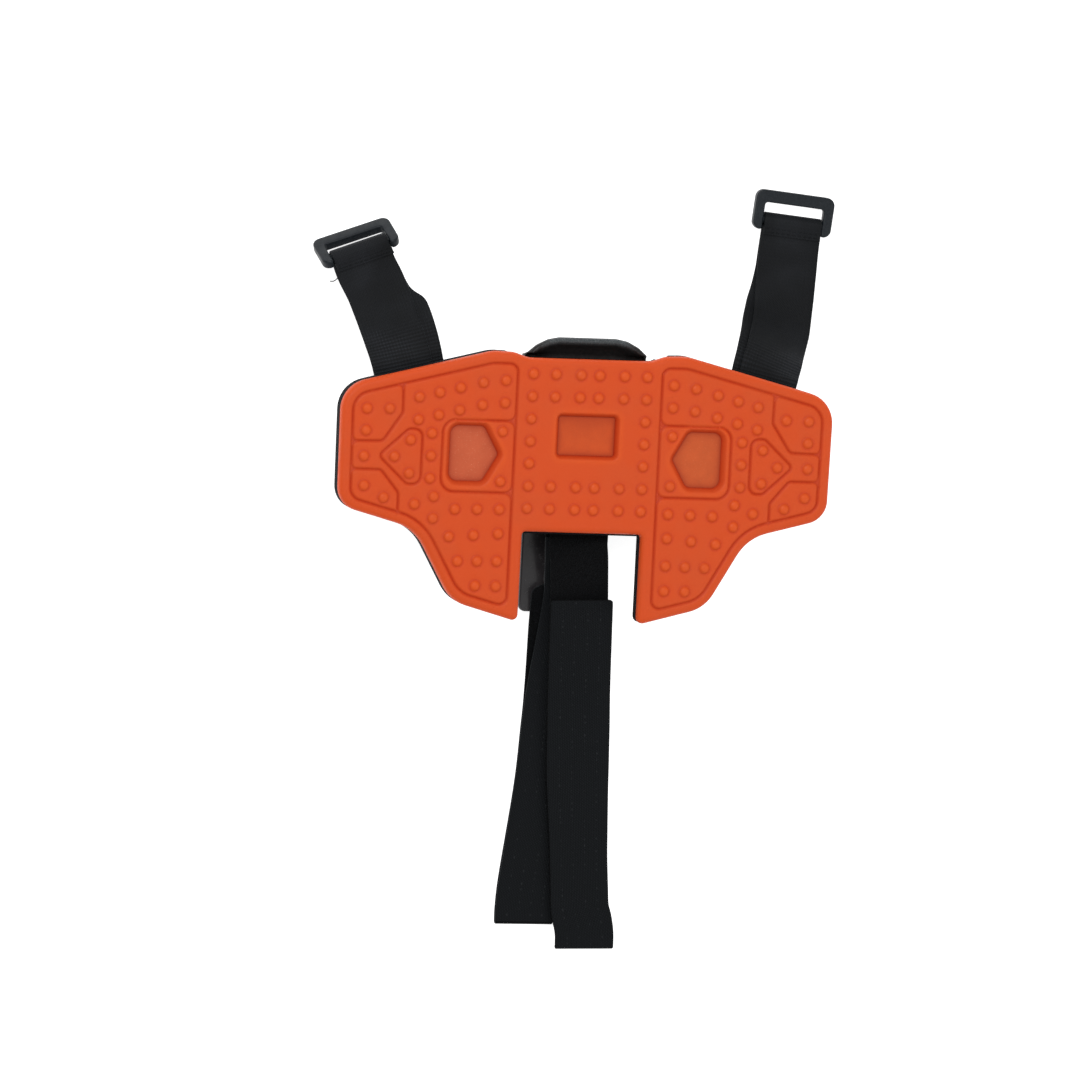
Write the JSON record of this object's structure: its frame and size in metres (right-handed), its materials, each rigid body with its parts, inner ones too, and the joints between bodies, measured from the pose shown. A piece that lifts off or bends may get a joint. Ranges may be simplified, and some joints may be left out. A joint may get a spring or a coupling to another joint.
{
  "type": "strap-on support pad",
  "caption": "Moulded rubber support pad with raised nubs, two folding wings, ring straps at the top, long hook-and-loop straps below and a flat hook behind.",
  "frame": {"origin": "under the middle of the pad, on the flat underside of the hook's tongue that the part rests on", "axes": "+Z towards the pad's face, +X towards its right wing, +Y towards its top edge, where the ring straps are"},
  "size_m": [0.2228, 0.3209, 0.0371],
  "materials": {
    "face_rubber": "matt moulded silicone rubber, orange",
    "foam": "matt closed-cell foam, black",
    "insert_rubber": "speckled rubber, dull orange",
    "plate_plastic": "fine-textured, black",
    "hook_plastic": "glossy, dark grey",
    "webbing": "woven polyester webbing, black",
    "loop_tape": "woven hook-and-loop tape, black",
    "ring_plastic": "satin moulded acetal, black",
    "fastener_steel": "satin zinc-plated"
  },
  "bodies": {
    "root": {"centre_face": "face_rubber", "centre_foam": "foam", "centre_insert": "insert_rubber", "base_plate": "plate_plastic", "hook": "hook_plastic", "rivet_1": "fastener_steel", "rivet_2": "fastener_steel", "rivet_3": "fastener_steel", "rivet_4": "fastener_steel", "screw_1": "fastener_steel", "screw_2": "fastener_steel", "screw_3": "fastener_steel", "screw_4": "fastener_steel", "strap_anchor": "webbing"},
    "left_wing": {"left_wing_face": "face_rubber", "left_wing_foam": "foam", "left_wing_insert": "insert_rubber", "left_strap_tail": "webbing"},
    "right_wing": {"right_wing_face": "face_rubber", "right_wing_foam": "foam", "right_wing_insert": "insert_rubber", "right_strap_tail": "webbing"},
    "left_ring_strap": {"left_ring_strap": "webbing"},
    "right_ring_strap": {"right_ring_strap": "webbing"},
    "left_ring": {"left_ring": "ring_plastic"},
    "right_ring": {"right_ring": "ring_plastic"},
    "lower_strap": {"lower_strap": "loop_tape"},
    "lower_strap_flap": {"lower_strap_flap": "loop_tape"},
    "upper_strap": {"upper_strap": "loop_tape"},
    "upper_strap_flap": {"upper_strap_flap": "loop_tape"}
  },
  "joints": [
    {"name": "left_wing_fold", "type": "hinge", "parent": "root", "child": "left_wing", "pos_m": [-0.031, 0, 0.0348], "axis": [0, 1, 0], "range_deg": [-15, 20], "stiffness_Nm_per_rad": 2},
    {"name": "right_wing_fold", "type": "hinge", "parent": "root", "child": "right_wing", "pos_m": [0.031, 0, 0.0348], "axis": [0, -1, 0], "range_deg": [-15, 20], "stiffness_Nm_per_rad": 2},
    {"name": "left_strap_lift", "type": "hinge", "parent": "left_wing", "child": "left_ring_strap", "pos_m": [-0.0776, 0.0452, 0.0235], "axis": [0.9709, 0.2393, 0], "range_deg": [0, 90]},
    {"name": "right_strap_lift", "type": "hinge", "parent": "right_wing", "child": "right_ring_strap", "pos_m": [0.0776, 0.0452, 0.0235], "axis": [0.9779, -0.2089, 0], "range_deg": [0, 90]},
    {"name": "left_ring_turn", "type": "hinge", "parent": "left_ring_strap", "child": "left_ring", "pos_m": [-0.096, 0.0917, 0.012], "axis": [0.9395, 0.3427, 0], "range_deg": [0, 140]},
    {"name": "right_ring_turn", "type": "hinge", "parent": "right_ring_strap", "child": "right_ring", "pos_m": [0.0909, 0.1079, 0.0036], "axis": [0.9949, -0.1013, 0], "range_deg": [0, 140]},
    {"name": "lower_strap_lift", "type": "hinge", "parent": "root", "child": "lower_strap", "pos_m": [0, -0.025, 0.02285], "axis": [-1, 0, 0], "range_deg": [0, 45]},
    {"name": "upper_strap_lift", "type": "hinge", "parent": "lower_strap", "child": "upper_strap", "pos_m": [0, -0.025, 0.02425], "axis": [-1, 0, 0], "range_deg": [0, 45]},
    {"name": "lower_flap_peel", "type": "hinge", "parent": "lower_strap", "child": "lower_strap_flap", "pos_m": [-0.0086, -0.1895, 0.00142], "axis": [-0.9999, -0.0156, 0], "range_deg": [0, 170], "stiffness_Nm_per_rad": 0.1},
    {"name": "upper_flap_peel", "type": "hinge", "parent": "upper_strap", "child": "upper_strap_flap", "pos_m": [0.0174, -0.19902, 0.00428], "axis": [0.9997, 0.0244, 0], "range_deg": [0, 170]}
  ]
}
